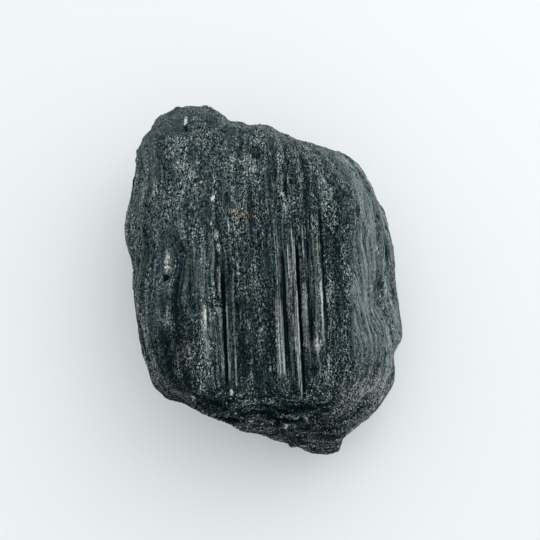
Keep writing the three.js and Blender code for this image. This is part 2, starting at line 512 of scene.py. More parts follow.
# Broad zones of smooth, sugary or finely lined skin, and zones darkened as a whole with painted shade
ZONES = (
    Strip(Trait.SMOOTH, (-16.8, -9.6), (-9.0, 5.0), 0.6, blur=(0.6, 2.5)),
    Strip(Trait.SMOOTH, (-9.2, -7.0), (-19.4, -7.6), 0.5, blur=(0.4, 0.8)),
    Spot(Trait.SMOOTH, (-17.0, 26.0, 9.0), (7.0, 6.0, 8.0), 0.7, blur=0.5),
    Strip(Trait.SUGAR, (-20.0, 14.0), (3.0, 27.0), 0.2, blur=(2.0, 3.0)),
    Strip(Trait.SUGAR, (-4.0, 1.4), (-21.0, 10.0), 0.2, blur=(0.6, 2.0)),
    Strip(Trait.SUGAR, (9.9, 13.6), (-21.0, 8.0), 0.5, blur=(0.4, 2.0)),
    Spot(Trait.SUGAR, (-14.5, -18.0, 12.0), (7.0, 7.0, 10.0), 0.5, blur=0.4),
    Spot(Trait.SUGAR, (15.5, -20.0, 8.0), (8.0, 6.5, 14.0), 0.8, blur=0.4),
    Strip(Trait.LINED, (-16.2, -10.4), (-10.0, 8.0), 0.8, blur=(0.6, 2.5)),
    Strip(Trait.LINED, (-10.2, -4.4), (-20.0, 4.0), 1.0, blur=(0.4, 2.0)),
    Strip(Trait.LINED, (1.4, 10.2), (-21.0, 8.0), 1.0, blur=(0.3, 3.0)),
    Strip(Trait.PAINTED_SHADE, (-20.0, -11.6), (-25.0, -12.0), 0.76, blur=(1.0, 2.0)),
    Strip(Trait.PAINTED_SHADE, (-17.0, -10.4), (-13.0, -5.0), 0.36, blur=(1.0, 2.0)),
    Strip(Trait.PAINTED_SHADE, (-5.0, 1.5), (-21.5, 4.0), 0.33, blur=(0.6, 3.0)),
    Strip(Trait.PAINTED_SHADE, (10.0, 13.4), (-22.0, 8.0), 0.1, blur=(0.4, 2.0)),
    Spot(Trait.PAINTED_SHADE, (-14.0, -22.3, 7.0), (6.5, 3.2, 6.0), 0.45, blur=0.6),
    Spot(Trait.PAINTED_SHADE, (14.0, -19.5, 12.0), (3.6, 3.2, 5.0), 0.2, blur=0.6),
)

# White chips and painted glints, alone or scattered over a patch
WHITE_CHIPS = (
    Strip(Trait.CHIPS_AND_GLINTS, (-10.4, -8.8), (-17.0, -7.6), 0.2, blur=(0.5, 1.5)),
    Strip(Trait.CHIPS_AND_GLINTS, (-10.0, -9.5), (-11.0, -7.8), 0.5, blur=(0.2, 0.8)),
    Spot(Trait.CHIPS_AND_GLINTS, (-15.75, 0.2, 15.0), (0.42, 1.7, 2.0), 0.7, lift=-0.1, blur=0.5),
    Spot(Trait.CHIPS_AND_GLINTS, (-15.6, -9.4, 15.0), (1.0, 1.4, 2.0), 0.45, blur=0.7),
    Spot(Trait.CHIPS_AND_GLINTS, (-14.0, 16.5, 15.0), (1.1, 0.7, 2.0), 0.3, blur=0.6),
    Spot(Trait.CHIPS_AND_GLINTS, (-13.15, 25.4, 12.2), (0.24, 0.9, 1.5), 0.9),
    Spot(Trait.CHIPS_AND_GLINTS, (-12.4, -16.0, 15.5), (1.2, 3.0, 2.0), 0.42, blur=0.7),
    Spot(Trait.CHIPS_AND_GLINTS, (-11.3, -21.8, 12.2), (0.4, 0.4, 1.0), 0.9),
    Spot(Trait.CHIPS_AND_GLINTS, (-10.7, 17.4, 15.5), (0.5, 0.8, 2.0), 0.3, blur=0.6),
    Spot(Trait.CHIPS_AND_GLINTS, (-10.2, 13.8, 16.0), (0.22, 0.22, 2.0), 0.9),
    Spot(Trait.CHIPS_AND_GLINTS, (-8.5, 6.3, 16.0), (0.3, 0.35, 2.0), 0.9),
    Spot(Trait.CHIPS_AND_GLINTS, (-8.3, 10.8, 16.0), (0.3, 0.6, 2.0), 0.8),
    Spot(Trait.CHIPS_AND_GLINTS, (-7.6, 4.5, 16.0), (0.35, 0.9, 2.0), 0.6),
    Spot(Trait.CHIPS_AND_GLINTS, (-7.3, 2.4, 16.0), (0.3, 0.7, 2.0), 0.5),
    Spot(Trait.CHIPS_AND_GLINTS, (-5.0, -21.3, 15.2), (0.4, 0.6, 1.5), 1.0, lift=0.15),
    Spot(Trait.CHIPS_AND_GLINTS, (-2.7, 17.6, 16.0), (0.6, 0.9, 2.0), 0.25, blur=0.6),
    Spot(Trait.CHIPS_AND_GLINTS, (-1.2, 15.4, 16.0), (0.9, 0.8, 2.0), 0.25, blur=0.6),
    Spot(Trait.CHIPS_AND_GLINTS, (8.8, -13.8, 16.0), (1.0, 1.0, 2.0), 0.5, blur=0.7),
    Spot(Trait.CHIPS_AND_GLINTS, (11.0, -28.0, 0.0), (3.5, 2.5, 3.0), 0.2, blur=0.6),
    Spot(Trait.CHIPS_AND_GLINTS, (15.0, -20.5, 9.0), (3.2, 2.4, 4.0), 0.35, blur=0.6),
    Spot(Trait.CHIPS_AND_GLINTS, (19.5, -19.0, 5.0), (2.6, 2.6, 4.0), 0.35, blur=0.6),
)

# Warm stains in the grain
STAINS = (
    Strip(Trait.TAN, (-9.0, -7.2), (-2.0, 8.0), 0.12, blur=(0.5, 2.0)),
    Strip(Trait.TAN, (-4.4, 2.0), (6.0, 10.0), 0.2, blur=(1.0, 1.2)),
    Strip(Trait.TAN, (4.7, 5.7), (1.5, 5.5), 0.5, blur=(0.2, 0.8)),
    Strip(Trait.TAN, (8.7, 9.3), (-1.3, 5.4), 0.4, blur=(0.2, 0.8)),
    Spot(Trait.TAN, (-5.2, 8.6, 16.0), (1.4, 0.3, 2.0), 1.0, blur=0.5),
    Spot(Trait.TAN, (-2.8, 7.8, 16.0), (2.0, 0.3, 2.0), 1.0, blur=0.5),
)

# Pits in the top face and hollows in the right face, darkened with painted shade
PITS = (
    Spot(Trait.PAINTED_SHADE, (-15.85, -2.5, 15.0), (0.5, 0.8, 2.0), 1.0, lift=-0.6),
    Spot(Trait.PAINTED_SHADE, (-13.1, 23.9, 12.9), (0.35, 0.6, 1.5), 0.9, lift=-0.3),
    Spot(Trait.PAINTED_SHADE, (-1.1, 18.9, 15.5), (1.15, 1.25, 2.0), 0.75, lift=-0.4),
    Spot(Trait.PAINTED_SHADE, (14.0, 11.2, 16.0), (0.8, 0.6, 1.5), 0.8, lift=-0.2),
    Spot(Trait.PAINTED_SHADE, (15.8, 8.9, 15.0), (0.6, 1.1, 1.5), 0.8, lift=-0.2),
    Spot(Trait.PAINTED_SHADE, (19.8, -0.6, 6.0), (1.7, 2.8, 2.2), 0.4, lift=-0.2, blur=0.6),
    Spot(Trait.PAINTED_SHADE, (20.4, 5.5, 4.5), (1.6, 2.4, 2.4), 0.3, lift=-0.1, blur=0.6),
)

# Deep clefts in the broken end, darkened with painted shade, and white splinters and painted glints beside
# them
BROKEN_END = (
    Spot(Trait.PAINTED_SHADE, (-4.0, -25.0, 7.6), (3.6, 2.0, 0.45), 0.9, lift=-0.4, blur=0.4),
    Spot(Trait.PAINTED_SHADE, (-2.5, -23.8, 10.2), (5.5, 2.0, 0.5), 0.9, lift=-0.5, blur=0.4),
    Spot(Trait.PAINTED_SHADE, (2.4, -24.4, 8.0), (1.6, 2.0, 1.2), 1.0, lift=-0.7, blur=0.4),
    Spot(Trait.PAINTED_SHADE, (3.8, -25.1, 6.6), (1.3, 2.0, 1.1), 1.0, lift=-0.7, blur=0.4),
    Spot(Trait.PAINTED_SHADE, (7.0, -25.0, 6.4), (2.6, 2.0, 0.45), 0.9, lift=-0.4, blur=0.4),
    Spot(Trait.CHIPS_AND_GLINTS, (-3.3, -25.3, 7.6), (0.45, 1.6, 0.25), 0.9, lift=0.1),
    Spot(Trait.CHIPS_AND_GLINTS, (-1.8, -25.3, 7.0), (0.35, 1.6, 0.25), 0.9, lift=0.1),
    Spot(Trait.CHIPS_AND_GLINTS, (-0.1, -25.4, 6.9), (0.3, 1.6, 0.22), 0.8, lift=0.1),
    Spot(Trait.CHIPS_AND_GLINTS, (4.0, -25.9, 2.6), (0.35, 1.8, 1.2), 1.0, lift=0.15),
    Spot(Trait.CHIPS_AND_GLINTS, (5.4, -24.6, 7.1), (0.6, 1.6, 0.35), 1.0, lift=0.1),
    Spot(Trait.CHIPS_AND_GLINTS, (6.6, -28.1, -2.3), (1.3, 1.6, 0.35), 0.7),
    Spot(Trait.CHIPS_AND_GLINTS, (7.3, -25.2, 6.0), (0.3, 1.6, 0.28), 0.9, lift=0.1),
)

# Swellings and hollows of the outline: the blunt tip, the right side, and the rounded end
OUTLINE = tuple(
    Spot(Trait.FORM, middle, half, lift=lift, blur=0.7)
    for middle, half, lift in (
        ((3.0, -28.0, -3.5), (4.0, 3.0, 4.0), 0.6),
        ((4.8, -28.8, -6.0), (1.8, 2.5, 3.5), -0.35),
        ((8.0, -29.0, -4.0), (3.0, 3.0, 3.0), 0.6),
        ((10.6, -29.3, -6.5), (2.6, 2.5, 4.0), 0.6),
        ((13.4, -28.6, -6.0), (1.6, 2.5, 4.0), -0.3),
        ((17.8, -23.4, 2.5), (3.0, 2.5, 5.0), -0.45),
        ((22.0, 7.0, 1.5), (2.5, 8.0, 5.0), 0.4),
        ((16.0, 19.8, 5.0), (3.0, 3.0, 5.0), 0.4),
        ((-7.8, 27.3, 9.9), (1.8, 2.2, 3.2), 0.6),
        ((-12.6, 28.9, 8.9), (2.6, 2.6, 3.6), 0.4),
        ((-16.8, 27.2, 9.5), (2.4, 2.4, 3.6), 0.3),
        ((-21.0, 23.0, 5.0), (3.0, 3.5, 5.0), 0.45),
    )
)

MARKS = GROOVES + POLISHED_RIBS + ZONES + WHITE_CHIPS + STAINS + PITS + BROKEN_END + OUTLINE


@dataclass(frozen=True)
class Skin:
    """The patterns on the stone, which its colour, its painted shade and its surface direction share."""

    place: Place
    traits: Mapping[Trait, Wire]
    side: Wire
    flakes: Wire
    lot: Wire
    fine: Wire
    grain: Wire
    streak: Wire
    comb: Wire
    stripe: Wire
    patch: Wire
    coarse: Wire
    sugar: Wire


@dataclass(frozen=True)
class SchorlFinish:
    """Black tourmaline: a near-black, glassy stone with sugary grain, pale chips and polished ribs, with
    painted highlights, glints and shade.

    The patterns' sizes are in millimetres, and their shares add up to the stone's tone. The spans of tones
    say where a colour or a gap comes in.
    """

    name: str = "schorl"
    deep: Colour = (0.006, 0.015, 0.020)
    body: Colour = (0.021, 0.038, 0.043)
    pale: Colour = (0.45, 0.50, 0.49)
    # Painted sheen: the lighter colour of the right face, which faces the light.
    right_face_sheen: Colour = (0.16, 0.186, 0.198)
    # Painted highlight on the polished ribs.
    light: Colour = (0.48, 0.49, 0.475)
    # White of the chips and of the painted glints.
    chalk_and_glint: Colour = (0.80, 0.78, 0.74)
    tan: Colour = (0.50, 0.36, 0.22)
    # Painted shade: the black of the unlit shader in gaps, grooves and pits.
    painted_shade: Colour = (0.002, 0.006, 0.008)
    gloss_tint: Colour = (0.66, 0.98, 1.0)
    index: float = 1.63
    gloss: float = 0.33
    dullness: float = 0.36
    dull_range: Span = (0.15, 0.9)
    dull_sway: float = 0.08
    dull_patches_per_mm: float = 0.8
    polish_and_sheen: float = 0.06
    chip_dullness: float = 0.2
    grain_size: float = 0.25
    thread_size: float = 0.3
    thread_width: float = 0.16
    thread_mean: float = 0.36
    hair_width: float = 0.2
    hair_mean: float = 0.4
    flake_size: float = 0.16
    flake_tilt: float = 0.44
    grain_share: float = 1.44
    thread_share: float = 1.3
    hair_share: float = 0.75
    flake_share: float = 0.55
    comb_share: float = 0.75
    stripe_share: float = 0.14
    # Painted light: how much lighter the stone is made towards its rounded end.
    far_light_share: float = 0.12
    far_light_along: Span = (0.0, 20.0)
    drawn_out: Triple = (1.0, 0.6, 1.0)
    patch_drawn_out: Triple = (1.0, 0.4, 1.0)
    patches_per_mm: float = 0.4
    grain_height: float = 0.04
    line_height: float = 0.05
    broken_height: float = 0.06
    lean: float = 0.3
    waves_per_mm: float = 0.2
    wave: float = 1.2
    layer: float = 0.8
    layer_width: float = 9.0
    hairs: Lines = Lines(0.28, 1.5, 1.0, 6.5)
    combing: Lines = Lines(0.15, 12.0, 2.3, 8.5)
    stripes: Lines = Lines(1.0, 16.0, 1.8, 4.5)
    long_lines: Lines = Lines(0.6, 12.0, 1.6, 2.5, detail=3.0)
    strands: Lines = Lines(0.22, 5.0, 1.6, 3.5)
    body_tones: Span = (-0.5, 0.3)
    right_face_sheen_tones: Span = (-0.9, 0.8)
    strand_tones: Span = (0.3, 1.2)
    pale_tones: Span = (0.4, 1.0)
    # Painted glints: the tones and flakes that are painted white.
    painted_glint_tones: Span = (0.0, 0.6)
    painted_glint_lots: Span = (0.9, 1.0)
    chip_tones: Span = (-0.1, 0.6)
    stain_tones: Span = (0.2, 0.9)
    # Painted shade: the tones and carved depths where the unlit shader comes in.
    gap_tones: Span = (-0.6, 0.06)
    gap_depths: Span = (0.25, 0.9)
    most_gap: float = 0.97

    def build(self) -> bpy.types.Material:
        """Makes the material.

        Returns:
            The material, with its nodes.
        """
        material = bpy.data.materials.new(self.name)
        graph = empty_graph(material)
        skin = self.skin(graph)
        tone = self.tone(skin)
        stone = graph.node(
            "ShaderNodeBsdfPrincipled",
            {},
            {
                "Base Color": self.colour(graph, skin, tone),
                "Roughness": self.roughness(graph, skin),
                "IOR": self.index,
                "Specular IOR Level": self.gloss,
                "Specular Tint": opaque(self.gloss_tint),
                "Normal": self.normal(graph, skin),
            },
        )
        # Painted shade: a black, unlit shader, mixed in where gaps, recesses, grooves and pits would lose
        # light.
        shade_shader = graph.node(
            "ShaderNodeBsdfPrincipled",
            {},
            {"Base Color": opaque(self.painted_shade), "Roughness": 1.0, "Specular IOR Level": 0.0},
        )
        gap_shade = self.gap_shade(graph, skin, tone)
        shader = graph.node("ShaderNodeMixShader", {}, {0: gap_shade, 1: stone, 2: shade_shader})
        graph.node("ShaderNodeOutputMaterial", {}, {"Surface": shader})
        return material

    def skin(self, graph: Graph) -> Skin:
        """Lays out the patterns on the surface.

        Args:
            graph: The tree to build in.

        Returns:
            The patterns as wires.
        """
        place = LAY.place(graph, graph.node("ShaderNodeTexCoord", {}, {}, "Object"))
        traits = {trait: self.trait(place, trait) for trait in Trait if trait is not Trait.FORM}
        side = LAY.right_face(place)
        drawn = graph.vector_math("MULTIPLY", place.point, self.drawn_out)
        flakes = graph.cells(drawn, "Color", 1 / self.flake_size)
        lot = graph.part(flakes, 0)
        fine = (lot - 0.5) * 2.0
        stripe = self.stripes.tone(place.around, place.along) * place.ribbed
        patch = self.patches(graph, place) + stripe * 0.7
        coarse = (traits[Trait.SUGAR] + place.broken).least(1.0)
        return Skin(
            place=place,
            traits=traits,
            side=side,
            flakes=flakes,
            lot=lot,
            fine=fine,
            grain=self.grains(graph, place, drawn) + fine * self.flake_share,
            streak=self.streaks(graph, place, side),
            comb=self.combing.tone(place.around, place.along),
            stripe=stripe,
            patch=patch,
            coarse=coarse,
            sugar=(0.5 + patch * 0.7 + coarse * 0.35 - side * 0.3).most(0.08).least(1.0),
        )

    def trait(self, place: Place, trait: Trait) -> Wire:
        """How strongly a trait shows at a place, from 0 to 1, by all the marks that have it."""
        return sum(mark.mask(place) * mark.amount for mark in MARKS if mark.trait is trait).least(1.0)

    def grains(self, graph: Graph, place: Place, drawn: Wire) -> Wire:
        """Soft grains, bright threads between them, and hairs along the ribs.

        Args:
            graph: The tree to build in.
            place: The place on the crystal.
            drawn: The place's point, drawn out along the ribs.

        Returns:
            Their tone, round 0.
        """
        soft = graph.noise(drawn, 2.0, 1 / self.grain_size)
        threads = abs(graph.noise(drawn, 2.0, 1 / self.thread_size)).fall(0.0, self.thread_width)
        hairs = abs(self.hairs.tone(place.around, place.along)).fall(0.0, self.hair_width)
        grain = soft * self.grain_share + (threads - self.thread_mean) * self.thread_share
        return grain + (hairs - self.hair_mean) * place.ribbed * self.hair_share

    def patches(self, graph: Graph, place: Place) -> Wire:
        """Broad patches where the grain is more or less sugary, from about -1 to 1."""
        drawn = graph.vector_math("MULTIPLY", place.point, self.patch_drawn_out)
        return graph.noise(drawn, 3.0, self.patches_per_mm) * 1.4

    def streaks(self, graph: Graph, place: Place, side: Wire) -> Wire:
        """Fine lines: along the ribs, leaning and wavy on the right face, and in level layers on the ends.

        Args:
            graph: The tree to build in.
            place: The place on the crystal.
            side: How much the place belongs to the right face.

        Returns:
            Their tone, from about -1 to 1.
        """
        wave = graph.noise(place.point, 2.0, self.waves_per_mm) * self.wave
        leaning = place.around + side * (place.along * self.lean + wave)
        lines = self.long_lines.tone(leaning, place.along) + self.strands.tone(leaning, place.along) * side
        level = graph.vector(place.across / self.layer_width, wave, (place.height + wave) / self.layer)
        layers = graph.noise(level, 3.0) * 1.7
        return lines * place.ribbed + layers * (1.0 - place.ribbed) * (0.35 + place.broken * 0.65)

    def tone(self, skin: Skin) -> Wire:
        """How light the stone is: its grain and lines, calmer on smooth skin and stronger on coarse skin,
        with painted shade on the broken end and painted light towards the rounded end.

        Args:
            skin: The patterns on the surface.

        Returns:
            The tone, from about -1.5 to 1.5.
        """
        traits = skin.traits
        side = skin.side
        broken = skin.place.broken
        calm = traits[Trait.SMOOTH].most(side * 0.3).most(traits[Trait.POLISH_AND_SHEEN] * 0.8).most(broken * 0.45)
        lines = (0.5 + side * 0.35 + broken * 0.5 - skin.patch * 0.2).most(0.1)
        tone = skin.grain * (0.5 + skin.sugar * 0.6) * (1.0 - calm * 0.6) + skin.streak * lines
        tone = tone + skin.comb * traits[Trait.LINED] * self.comb_share
        tone = tone + skin.stripe * (1.0 - side) * self.stripe_share
        # Darker on coarse skin, and painted shade on the broken end, which faces away from the light.
        tone = tone * (1.0 + skin.coarse * 0.4) - skin.coarse * 0.35 - broken * 0.25
        # Painted light: lighter towards the rounded end.
        return tone + skin.place.along.rise(*self.far_light_along) * self.far_light_share

    def gap_shade(self, graph: Graph, skin: Skin, tone: Wire) -> Wire:
        """Painted shade: how much light is lost in the gaps between grains, in the carved recesses and in
        the grooves, pits and darker zones.

        Args:
            graph: The tree to build in.
            skin: The patterns on the surface.
            tone: How light the stone is.

        Returns:
            A share from 0 to 1.
        """
        chalk_and_glint = skin.traits[Trait.CHIPS_AND_GLINTS]
        depth = graph.node("ShaderNodeAttribute", {"attribute_name": CUT}, {}, "Fac")
        # Painted shade between the grains, less on the right face.
        loose = tone.fall(*self.gap_tones) * (0.95 - skin.side * 0.3)
        # Painted shade in the carved recesses, more on the broken end.
        loose = loose + depth.rise(*self.gap_depths) * (0.5 + skin.place.broken * 0.3)
        solid = 1.0 - (skin.traits[Trait.POLISH_AND_SHEEN] + chalk_and_glint).least(1.0) * 0.8
        # Painted shade of the grooves, pits and darker zones, less on white chips and glints.
        dark = skin.traits[Trait.PAINTED_SHADE] * (0.9 - chalk_and_glint * 0.85)
        return (loose * solid + dark).least(self.most_gap)

    def colour(self, graph: Graph, skin: Skin, tone: Wire) -> Wire:
        """The stone's colour, from its dark body to its white chips and warm stains, with painted sheen on
        the right face and the polished ribs, and painted glints.

        Args:
            graph: The tree to build in.
            skin: The patterns on the surface.
            tone: How light the stone is.

        Returns:
            The colour.
        """
        side = skin.side
        shade = graph.mix(tone.rise(*self.body_tones), opaque(self.deep), opaque(self.body))
        # Painted sheen: the right face is made lighter where it faces the light.
        shade = graph.mix(side * tone.rise(*self.right_face_sheen_tones), shade, opaque(self.right_face_sheen))
        shade = graph.mix(side * tone.rise(*self.strand_tones) * 0.5, shade, opaque(self.pale))
        shade = graph.mix(tone.rise(*self.pale_tones) * skin.sugar, shade, opaque(self.pale))
        # Painted highlight on the polished ribs.
        polish_and_sheen = skin.traits[Trait.POLISH_AND_SHEEN] * (0.62 + skin.comb * 0.9 + skin.fine * 0.2)
        shade = graph.mix(polish_and_sheen.most(0.0).least(1.0), shade, opaque(self.light))
        # White chips, and painted glints.
        white = self.painted_glints(skin, tone) + self.chips(skin, tone)
        shade = graph.mix(white.most(0.0).least(1.0), shade, opaque(self.chalk_and_glint))
        stain = skin.traits[Trait.TAN] * tone.rise(*self.stain_tones)
        return graph.mix(stain, shade, opaque(self.tan))

    def painted_glints(self, skin: Skin, tone: Wire) -> Wire:
        """Painted glints: the few flakes painted white as if they caught the light, more of them on the
        broken end.
        """
        chosen = skin.lot.rise(*self.painted_glint_lots) * tone.rise(*self.painted_glint_tones)
        return chosen * skin.sugar * (1.0 + skin.place.broken)

    def chips(self, skin: Skin, tone: Wire) -> Wire:
        """The white chips and the painted glints among them, which are broken up by the grain."""
        chalk_and_glint = skin.traits[Trait.CHIPS_AND_GLINTS]
        return chalk_and_glint * (chalk_and_glint * 0.7 + tone.rise(*self.chip_tones) * 1.2)

    def roughness(self, graph: Graph, skin: Skin) -> Wire:
        """How dull the stone is: less on polished ribs, more on white chips.

        Args:
            graph: The tree to build in.
            skin: The patterns on the surface.

        Returns:
            The roughness.
        """
        low, high = self.dull_range
        dull = self.dullness + graph.noise(skin.place.point, 2.0, self.dull_patches_per_mm) * self.dull_sway
        dull = dull - skin.traits[Trait.POLISH_AND_SHEEN] * self.polish_and_sheen + skin.traits[Trait.CHIPS_AND_GLINTS] * self.chip_dullness
        return dull.most(low).least(high)

    def normal(self, graph: Graph, skin: Skin) -> Wire:
        """The surface direction: grain, fine lines along the ribs, and flakes that each face their own way.

        Args:
            graph: The tree to build in.
            skin: The patterns on the surface.

        Returns:
            The direction.
        """
        rough = 1.0 - skin.traits[Trait.POLISH_AND_SHEEN] * 0.8
        line = self.line_height + skin.place.broken * self.broken_height
        height = skin.grain * rough * self.grain_height + skin.streak * line
        bump = graph.node("ShaderNodeBump", {}, {"Strength": 1.0, "Distance": MM, "Height": height})
        turned = graph.scaled(graph.centred(skin.flakes), rough * self.flake_tilt)
        return graph.vector_math("NORMALIZE", graph.vector_math("ADD", bump, turned))


@dataclass(frozen=True)
class FloorFinish:
    """A plain pale tabletop, lit a little from below."""

    name: str = "pale_floor"
    tone: Colour = (0.70, 0.715, 0.72)
    roughness: float = 0.55
    glow: float = 0.125

    def build(self) -> bpy.types.Material:
        """Makes the material.

        Returns:
            The material, with its nodes.
        """
        material = bpy.data.materials.new(self.name)
        graph = empty_graph(material)
        shader = graph.node(
            "ShaderNodeBsdfPrincipled",
            {},
            {
                "Base Color": opaque(self.tone),
                "Roughness": self.roughness,
                "Emission Color": opaque(self.tone),
                "Emission Strength": self.glow / max(self.tone),
            },
        )
        graph.node("ShaderNodeOutputMaterial", {}, {"Surface": shader})
        return material


@dataclass
class Crystal:
    """The crystal: its solid, smoothed and given the relief that the eye sees."""

    finish: SchorlFinish = field(default_factory=SchorlFinish)
    name: str = "tourmaline"
    levels: int = 2
    weld: float = 0.001
    long_splinter: Span = (1.7, 15.0)
    short_splinter: Span = (0.8, 7.0)
    short_seed: float = 4.0
    seed_step: Span = (7.3, 3.1)
    waves: Lines = Lines(3.4, 26.0, 1.0, 5.0, detail=1.0)
    chip_shift: Triple = (2.1, 1.3, 0.7)
    large_chip: float = 5.0
    chip: float = 2.4
    small_chip: float = 1.1
    ledge: float = 2.2
    ledge_wave: float = 3.0
    ledge_waves_per_mm: float = 0.13
    ledge_breaks_per_mm: float = 0.2
    ledge_breaks: Span = (-0.4, 0.4)
    ledge_height: Span = (-6.0, 4.0)
    column: float = 3.4
    column_along: Span = (15.0, 20.0)
    column_height: Span = (4.0, 9.0)
    pits_per_mm: float = 0.28
    pit_edge: Span = (0.12, 0.3)
    base_height: Span = (0.3, 2.5)
    sizes: Mapping[str, float] = field(
        default_factory=lambda: {
            "Rib Depth": 0.26,
            "Wave Depth": 0.4,
            "Chip Depth": 0.2,
            "Ledge Depth": 1.0,
            "Step Depth": 1.5,
            "Pit Depth": 0.3,
            "Swell": 0.12,
            "Seed": 3.0,
        }
    )

    def build(self) -> bpy.types.Object:
        """Makes the piece and puts it in the solid's place.

        Returns:
            The finished object, at the origin.
        """
        mesh = self.quads_of(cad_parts[NODE].data)
        rough = bpy.data.objects.new(self.name + "_rough", mesh)
        bpy.context.scene.collection.objects.link(rough)
        self.add_relief(rough, self.finish.build())
        shown = rough.evaluated_get(bpy.context.evaluated_depsgraph_get())
        carved = bpy.data.meshes.new_from_object(shown)
        bpy.data.objects.remove(rough)
        piece = bpy.data.objects.new(self.name, carved)
        bpy.context.scene.collection.objects.link(piece)
        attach(piece, BODY)
        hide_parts(NODE)
        return piece

    def quads_of(self, solid: bpy.types.Mesh) -> bpy.types.Mesh:
        """A merged copy of the solid, with its triangles paired into four-sided faces.

        Args:
            solid: The solid's loose triangles.

        Returns:
            A new closed mesh.
        """
        shell = bmesh.new()
        shell.from_mesh(solid)
        bmesh.ops.remove_doubles(shell, verts=shell.verts, dist=self.weld * MM)
        bmesh.ops.join_triangles(
            shell,
            faces=shell.faces,
            angle_face_threshold=math.pi,
            angle_shape_threshold=math.pi,
        )
        mesh = bpy.data.meshes.new(self.name)
        shell.to_mesh(mesh)
        shell.free()
        return mesh

    def add_relief(self, rough: bpy.types.Object, material: bpy.types.Material) -> None:
        """Adds the modifier that smooths the solid and carves its relief.

        Args:
            rough: The object to carve.
            material: The finish of the carved surface.
        """
        tree = bpy.data.node_groups.new("crystal_relief", "GeometryNodeTree")
        tree.interface.new_socket("Geometry", in_out="INPUT", socket_type="NodeSocketGeometry")
        tree.interface.new_socket("Geometry", in_out="OUTPUT", socket_type="NodeSocketGeometry")
        modifier = rough.modifiers.new("relief", "NODES")
        modifier.node_group = tree
        level = tree.interface.new_socket("Level", in_out="INPUT", socket_type="NodeSocketInt")
        modifier[level.identifier] = self.levels
        for name, value in self.sizes.items():
            socket = tree.interface.new_socket(name, in_out="INPUT", socket_type="NodeSocketFloat")
            modifier[socket.identifier] = value
        graph = Graph(tree)
        start = tree.nodes.new("NodeGroupInput")
        given = {socket.name: Wire(graph, socket) for socket in start.outputs if socket.name}
        whole = graph.node("GeometryNodeRealizeInstances", {}, {0: self.carved(graph, given)})
        dressed = graph.node("GeometryNodeSetMaterial", {}, {"Geometry": whole, "Material": material})
        graph.node("NodeGroupOutput", {}, {0: dressed})

    def carved(self, graph: Graph, given: Mapping[str, Wire]) -> Wire:
        """Smooths the solid, carves it, and keeps it inside the solid's box.

        Args:
            graph: The tree to build in.
            given: The modifier's inputs.

        Returns:
            The carved mesh, with the depth of its relief stored on its points.
        """
        sockets = {"Mesh": given["Geometry"], "Level": given["Level"]}
        smooth = graph.node("GeometryNodeSubdivisionSurface", {}, sockets)
        depth = self.depth(graph, given)
        marked = graph.node(
            "GeometryNodeStoreNamedAttribute",
            {"data_type": "FLOAT", "domain": "POINT"},
            {"Geometry": smooth, "Name": CUT, "Value": depth},
        )
        inward = graph.scaled(graph.node("GeometryNodeInputNormal"), depth * -MM)
        carved = graph.node("GeometryNodeSetPosition", {}, {"Geometry": marked, "Offset": inward})
        low, high = CAD_BOX
        inside = graph.vector_math("MINIMUM", graph.node("GeometryNodeInputPosition"), tuple(high))
        inside = graph.vector_math("MAXIMUM", inside, tuple(low))
        fitted = graph.node("GeometryNodeSetPosition", {}, {"Geometry": carved, "Position": inside})
        return graph.node("GeometryNodeSetShadeSmooth", {}, {0: fitted, "Shade Smooth": False})

    def depth(self, graph: Graph, given: Mapping[str, Wire]) -> Wire:
        """How deep the relief is cut below the smoothed solid.

        Args:
            graph: The tree to build in.
            given: The modifier's inputs.

        Returns:
            The depth in millimetres, negative where the surface stands out.
        """
        place = LAY.place(graph, graph.node("GeometryNodeInputPosition"))
        carve = self.ribs(graph, place, given)
        carve = carve + self.breaks(graph, place) * given["Chip Depth"]
        carve = carve + self.ledges(graph, place) * given["Ledge Depth"]
        carve = carve + self.columns(graph, place) * given["Step Depth"]
        pits = graph.cells(place.point, "Distance", self.pits_per_mm).fall(*self.pit_edge)
        carve = carve + pits * given["Pit Depth"]
        raised = sum(mark.mask(place) * mark.lift for mark in MARKS if mark.lift)
        carve = carve - raised - given["Swell"]
        above_base = place.height + LAY.middle[2]
        return carve * above_base.rise(*self.base_height)

    def ribs(self, graph: Graph, place: Place, given: Mapping[str, Wire]) -> Wire:
        """The prism's sides: long and short splinters of rib on broad waves, gentler on the right face.

        Args:
            graph: The tree to build in.
            place: The place on the crystal.
            given: The modifier's inputs.

        Returns:
            Their depth in millimetres.
        """
        seed = given["Seed"]
        long = self.splinters(graph, place, self.long_splinter, seed)
        short = self.splinters(graph, place, self.short_splinter, seed + self.short_seed)
        waves = self.waves.tone(place.around, place.along) * (1.0 - LAY.right_face(place) * 0.6)
        carve = (long + short * 0.5) * given["Rib Depth"] + waves * given["Wave Depth"]
        return carve * place.ribbed

    def splinters(self, graph: Graph, place: Place, size: Span, seed: Wire) -> Wire:
        """Broken lengths of rib, each at its own height and with its own slant.

        Args:
            graph: The tree to build in.
            place: The place on the crystal.
            size: A splinter's width and length.
            seed: Sets one set of splinters apart from another.

        Returns:
            Their depth, from about -1 to 1.
        """
        width, length = size
        vector = graph.vector(place.around / width, place.along / length, 0.0)
        shift = graph.vector(seed * self.seed_step[0], seed * self.seed_step[1], 0.0)
        vector = graph.vector_math("ADD", vector, shift)
        lot = graph.cells(vector, "Color", 1.0, "2D")
        centre = graph.cells(vector, "Position", 1.0, "2D")
        aside = graph.part(graph.vector_math("SUBTRACT", vector, centre), 0)
        return (graph.part(lot, 0) - 0.5) * 2.0 + aside * (graph.part(lot, 1) - 0.5) * 2.0

